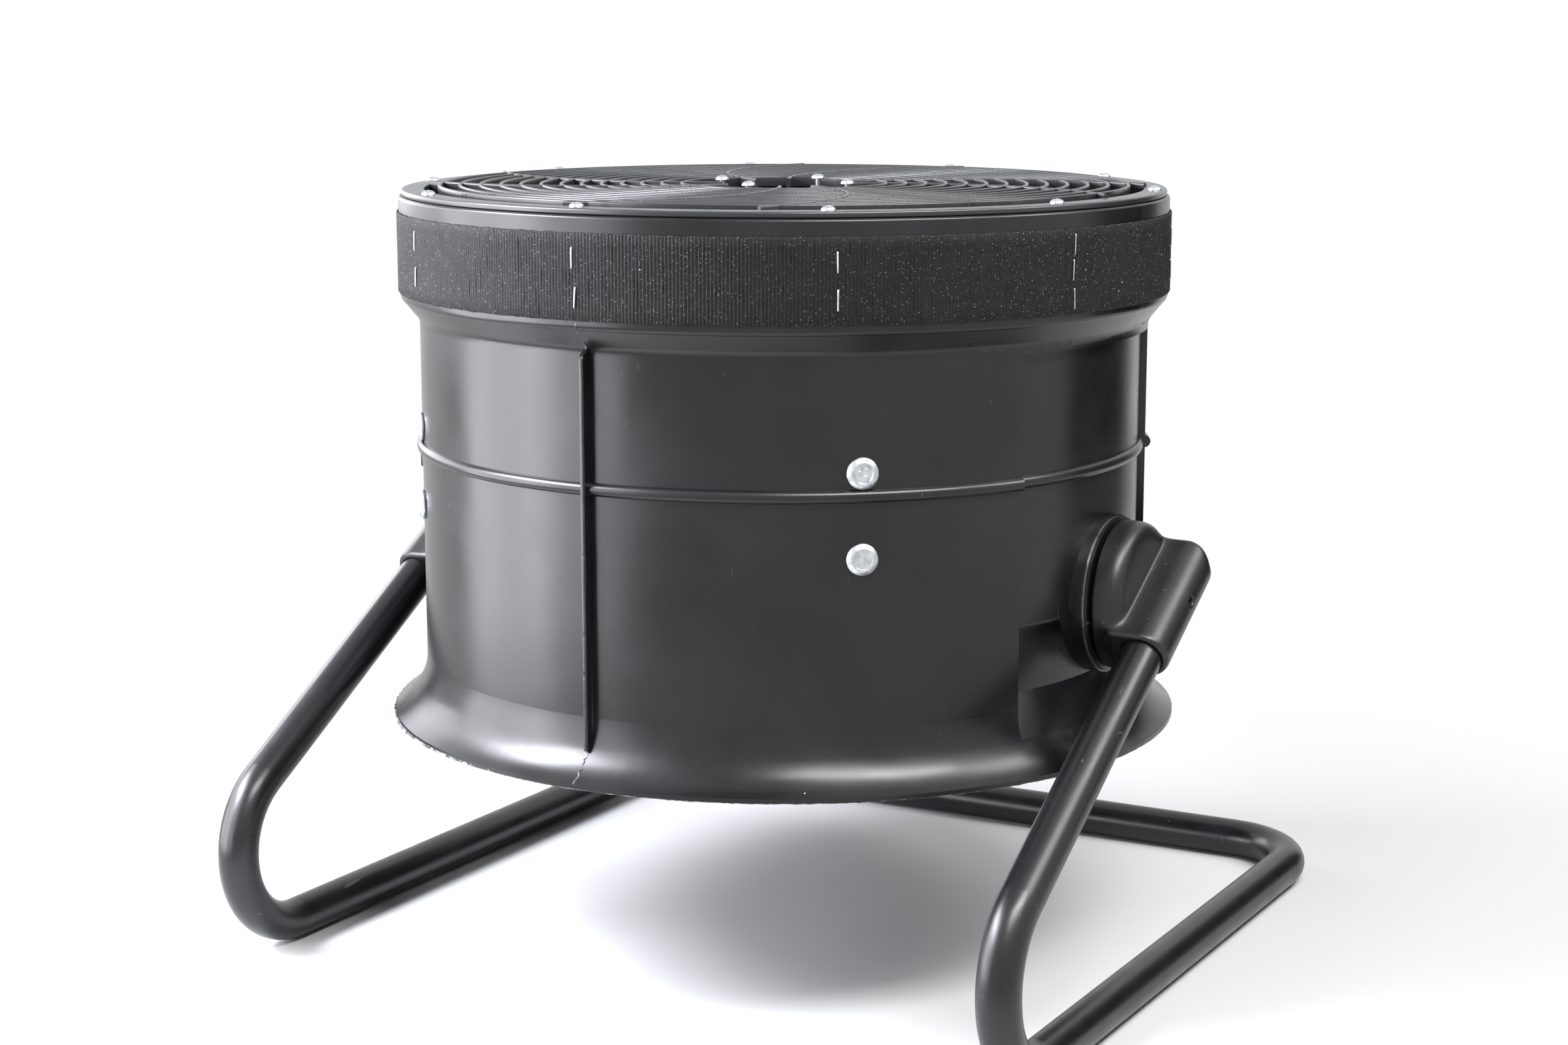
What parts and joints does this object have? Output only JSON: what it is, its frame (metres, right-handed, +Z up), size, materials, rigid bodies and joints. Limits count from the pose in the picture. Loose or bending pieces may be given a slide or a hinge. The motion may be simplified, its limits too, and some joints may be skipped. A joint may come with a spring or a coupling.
{
  "type": "tilting axial blower",
  "caption": "Open-ended drum blower with a guarded outlet and hook-tape rim, tilting between the arms of a bent tube stand.",
  "frame": {"origin": "middle of the footprint on the floor", "axes": "+Z up along the drum's axis at rest, X along the tilt axis, +Y towards the stand's cross tube"},
  "size_m": [0.569, 0.5584, 0.4979],
  "materials": {
    "drum_plastic": "semi-gloss black moulded polyethylene",
    "guard_plastic": "satin black moulded plastic",
    "tube_paint": "gloss black painted steel tube",
    "bracket_paint": "satin black painted steel",
    "hook_tape": "charcoal woven hook tape",
    "washer_plastic": "matte black nylon",
    "gland_plastic": "matte black nylon",
    "motor_metal": "cast aluminium",
    "strut_steel": "black painted sheet steel",
    "core_steel": "laminated steel",
    "winding_copper": "enamelled copper",
    "capacitor_plastic": "grey plastic can",
    "impeller_plastic": "glass-filled black plastic",
    "zinc_steel": "bright zinc-plated steel"
  },
  "bodies": {
    "stand": {"stand_tube": "tube_paint", "pivot_bracket_right": "bracket_paint", "pivot_bracket_left": "bracket_paint", "pivot_bolt_right": "zinc_steel", "pivot_bolt_left": "zinc_steel", "tube_lock_screw_right": "zinc_steel", "tube_lock_screw_left": "zinc_steel", "friction_washer_right": "washer_plastic", "friction_washer_left": "washer_plastic"},
    "drum": {"housing": "drum_plastic", "pivot_plate_right": "bracket_paint", "pivot_plate_left": "bracket_paint", "pivot_nut_right": "zinc_steel", "pivot_nut_left": "zinc_steel", "rim_tape": "hook_tape", "tape_staples": "zinc_steel", "outlet_guard": "guard_plastic", "guard_screw_1": "zinc_steel", "guard_screw_2": "zinc_steel", "guard_screw_3": "zinc_steel", "guard_screw_4": "zinc_steel", "guard_screw_5": "zinc_steel", "guard_screw_6": "zinc_steel", "guard_screw_7": "zinc_steel", "guard_screw_8": "zinc_steel", "guard_screw_9": "zinc_steel", "guard_screw_10": "zinc_steel", "hub_screw_1": "zinc_steel", "hub_screw_2": "zinc_steel", "hub_screw_3": "zinc_steel", "hub_screw_4": "zinc_steel", "inlet_guard": "guard_plastic", "motor_strut_1": "strut_steel", "strut_bolt_1": "zinc_steel", "strut_bolt_2": "zinc_steel", "motor_strut_2": "strut_steel", "strut_bolt_3": "zinc_steel", "strut_bolt_4": "zinc_steel", "motor_strut_3": "strut_steel", "strut_bolt_5": "zinc_steel", "strut_bolt_6": "zinc_steel", "motor_strut_4": "strut_steel", "strut_bolt_7": "zinc_steel", "strut_bolt_8": "zinc_steel", "strut_nuts": "zinc_steel", "run_capacitor": "capacitor_plastic", "motor_shell": "motor_metal", "motor_bell_upper": "motor_metal", "motor_bell_lower": "motor_metal", "stator_core": "core_steel", "stator_windings": "winding_copper", "bearing_lower": "zinc_steel", "bearing_upper": "zinc_steel", "terminal_box": "drum_plastic", "terminal_lid": "drum_plastic", "cable_gland": "gland_plastic"},
    "impeller": {"motor_shaft": "zinc_steel", "rotor_core": "core_steel", "impeller": "impeller_plastic", "impeller_nut": "zinc_steel"}
  },
  "joints": [
    {"name": "housing_tilt", "type": "hinge", "parent": "stand", "child": "drum", "pos_m": [0, -0.02425, 0.2487], "axis": [1, 0, 0], "range_deg": [-40, 40]},
    {"name": "impeller_spin", "type": "hinge", "parent": "drum", "child": "impeller", "pos_m": [0, -0.02425, 0.2147], "axis": [0, 0, 1], "continuous": true}
  ]
}
